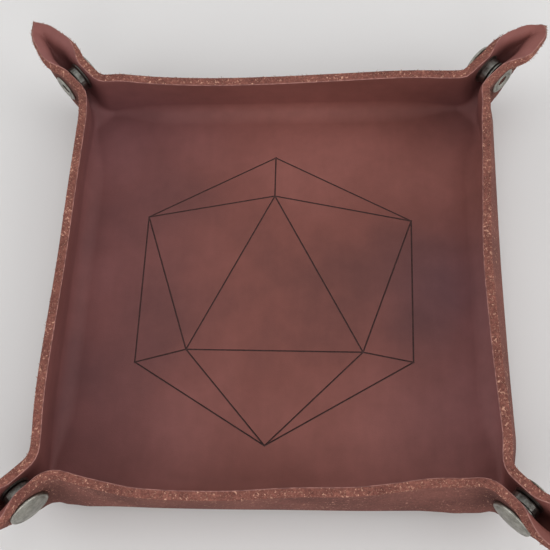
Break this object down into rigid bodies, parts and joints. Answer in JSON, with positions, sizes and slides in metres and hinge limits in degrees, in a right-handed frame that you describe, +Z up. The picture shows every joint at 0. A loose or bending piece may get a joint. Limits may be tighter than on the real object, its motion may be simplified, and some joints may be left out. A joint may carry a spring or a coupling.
{
  "type": "dice tray",
  "caption": "Square fold-flat leather dice tray with walls leaning slightly inward, doubled corner ears held by snaps, and an engraved twenty-sided die on the floor.",
  "frame": {"origin": "centre of the floor's underside, which rests on the table, under the middle of the bounding box", "axes": "+Z up out of the tray, -Y towards the front wall, +X towards the right wall; the two cap sides are front and back"},
  "size_m": [0.2108, 0.2108, 0.0387],
  "materials": {
    "leather": "oiled oxblood grain side, raw suede flesh side",
    "snap_cap": "antique pewter, brushed",
    "snap_socket": "dark antique plating",
    "snap_spring": "spring wire",
    "snap_stud": "dark antique plating",
    "snap_eyelet": "antique pewter"
  },
  "bodies": {
    "floor": {"floor_panel": "leather"},
    "front_wall": {"front_wall": "leather"},
    "front_left_ear_front": {"front_left_ear_front": "leather", "snap_cap_front_left": "snap_cap", "snap_socket_front_left": "snap_socket", "snap_spring_front_left": "snap_spring"},
    "front_right_ear_front": {"front_right_ear_front": "leather", "snap_cap_front_right": "snap_cap", "snap_socket_front_right": "snap_socket", "snap_spring_front_right": "snap_spring"},
    "right_wall": {"right_wall": "leather"},
    "front_right_ear_right": {"front_right_ear_right": "leather", "snap_stud_front_right": "snap_stud", "snap_eyelet_front_right": "snap_eyelet"},
    "back_right_ear_right": {"back_right_ear_right": "leather", "snap_stud_back_right": "snap_stud", "snap_eyelet_back_right": "snap_eyelet"},
    "back_wall": {"back_wall": "leather"},
    "back_right_ear_back": {"back_right_ear_back": "leather", "snap_cap_back_right": "snap_cap", "snap_socket_back_right": "snap_socket", "snap_spring_back_right": "snap_spring"},
    "back_left_ear_back": {"back_left_ear_back": "leather", "snap_cap_back_left": "snap_cap", "snap_socket_back_left": "snap_socket", "snap_spring_back_left": "snap_spring"},
    "left_wall": {"left_wall": "leather"},
    "back_left_ear_left": {"back_left_ear_left": "leather", "snap_stud_back_left": "snap_stud", "snap_eyelet_back_left": "snap_eyelet"},
    "front_left_ear_left": {"front_left_ear_left": "leather", "snap_stud_front_left": "snap_stud", "snap_eyelet_front_left": "snap_eyelet"}
  },
  "joints": [
    {"name": "front_wall_fold", "type": "hinge", "parent": "floor", "child": "front_wall", "pos_m": [0, -0.083, 0.0032], "axis": [1, 0, 0], "range_deg": [0, 89.5]},
    {"name": "front_left_ear_front_crease", "type": "hinge", "parent": "front_wall", "child": "front_left_ear_front", "pos_m": [-0.07781, -0.08615, 0.00376], "axis": [-0.1736, -0.1736, -0.9694], "range_deg": [0, 41.01]},
    {"name": "front_right_ear_front_crease", "type": "hinge", "parent": "front_wall", "child": "front_right_ear_front", "pos_m": [0.07781, -0.08615, 0.00376], "axis": [-0.1736, 0.1736, 0.9694], "range_deg": [0, 41.01]},
    {"name": "right_wall_fold", "type": "hinge", "parent": "floor", "child": "right_wall", "pos_m": [0.083, 0, 0.0032], "axis": [0, 1, 0], "range_deg": [0, 89.5]},
    {"name": "front_right_ear_right_crease", "type": "hinge", "parent": "right_wall", "child": "front_right_ear_right", "pos_m": [0.08615, -0.07781, 0.00376], "axis": [0.1736, -0.1736, -0.9694], "range_deg": [0, 41.01]},
    {"name": "back_right_ear_right_crease", "type": "hinge", "parent": "right_wall", "child": "back_right_ear_right", "pos_m": [0.08615, 0.07781, 0.00376], "axis": [-0.1736, -0.1736, 0.9694], "range_deg": [0, 41.01]},
    {"name": "back_wall_fold", "type": "hinge", "parent": "floor", "child": "back_wall", "pos_m": [0, 0.083, 0.0032], "axis": [-1, 0, 0], "range_deg": [0, 89.5]},
    {"name": "back_right_ear_back_crease", "type": "hinge", "parent": "back_wall", "child": "back_right_ear_back", "pos_m": [0.07781, 0.08615, 0.00376], "axis": [0.1736, 0.1736, -0.9694], "range_deg": [0, 41.01]},
    {"name": "back_left_ear_back_crease", "type": "hinge", "parent": "back_wall", "child": "back_left_ear_back", "pos_m": [-0.07781, 0.08615, 0.00376], "axis": [0.1736, -0.1736, 0.9694], "range_deg": [0, 41.01]},
    {"name": "left_wall_fold", "type": "hinge", "parent": "floor", "child": "left_wall", "pos_m": [-0.083, 0, 0.0032], "axis": [0, -1, 0], "range_deg": [0, 89.5]},
    {"name": "back_left_ear_left_crease", "type": "hinge", "parent": "left_wall", "child": "back_left_ear_left", "pos_m": [-0.08615, 0.07781, 0.00376], "axis": [-0.1736, 0.1736, -0.9694], "range_deg": [0, 41.01]},
    {"name": "front_left_ear_left_crease", "type": "hinge", "parent": "left_wall", "child": "front_left_ear_left", "pos_m": [-0.08615, -0.07781, 0.00376], "axis": [0.1736, 0.1736, 0.9694], "range_deg": [0, 41.01]}
  ],
  "couplings": [
    {"joint": "front_left_ear_front_crease", "follows": "front_wall_fold", "ratio": 0.45819},
    {"joint": "front_right_ear_front_crease", "follows": "front_wall_fold", "ratio": 0.45819},
    {"joint": "right_wall_fold", "follows": "front_wall_fold", "ratio": 1},
    {"joint": "front_right_ear_right_crease", "follows": "front_wall_fold", "ratio": 0.45819},
    {"joint": "back_right_ear_right_crease", "follows": "front_wall_fold", "ratio": 0.45819},
    {"joint": "back_wall_fold", "follows": "front_wall_fold", "ratio": 1},
    {"joint": "back_right_ear_back_crease", "follows": "front_wall_fold", "ratio": 0.45819},
    {"joint": "back_left_ear_back_crease", "follows": "front_wall_fold", "ratio": 0.45819},
    {"joint": "left_wall_fold", "follows": "front_wall_fold", "ratio": 1},
    {"joint": "back_left_ear_left_crease", "follows": "front_wall_fold", "ratio": 0.45819},
    {"joint": "front_left_ear_left_crease", "follows": "front_wall_fold", "ratio": 0.45819}
  ]
}
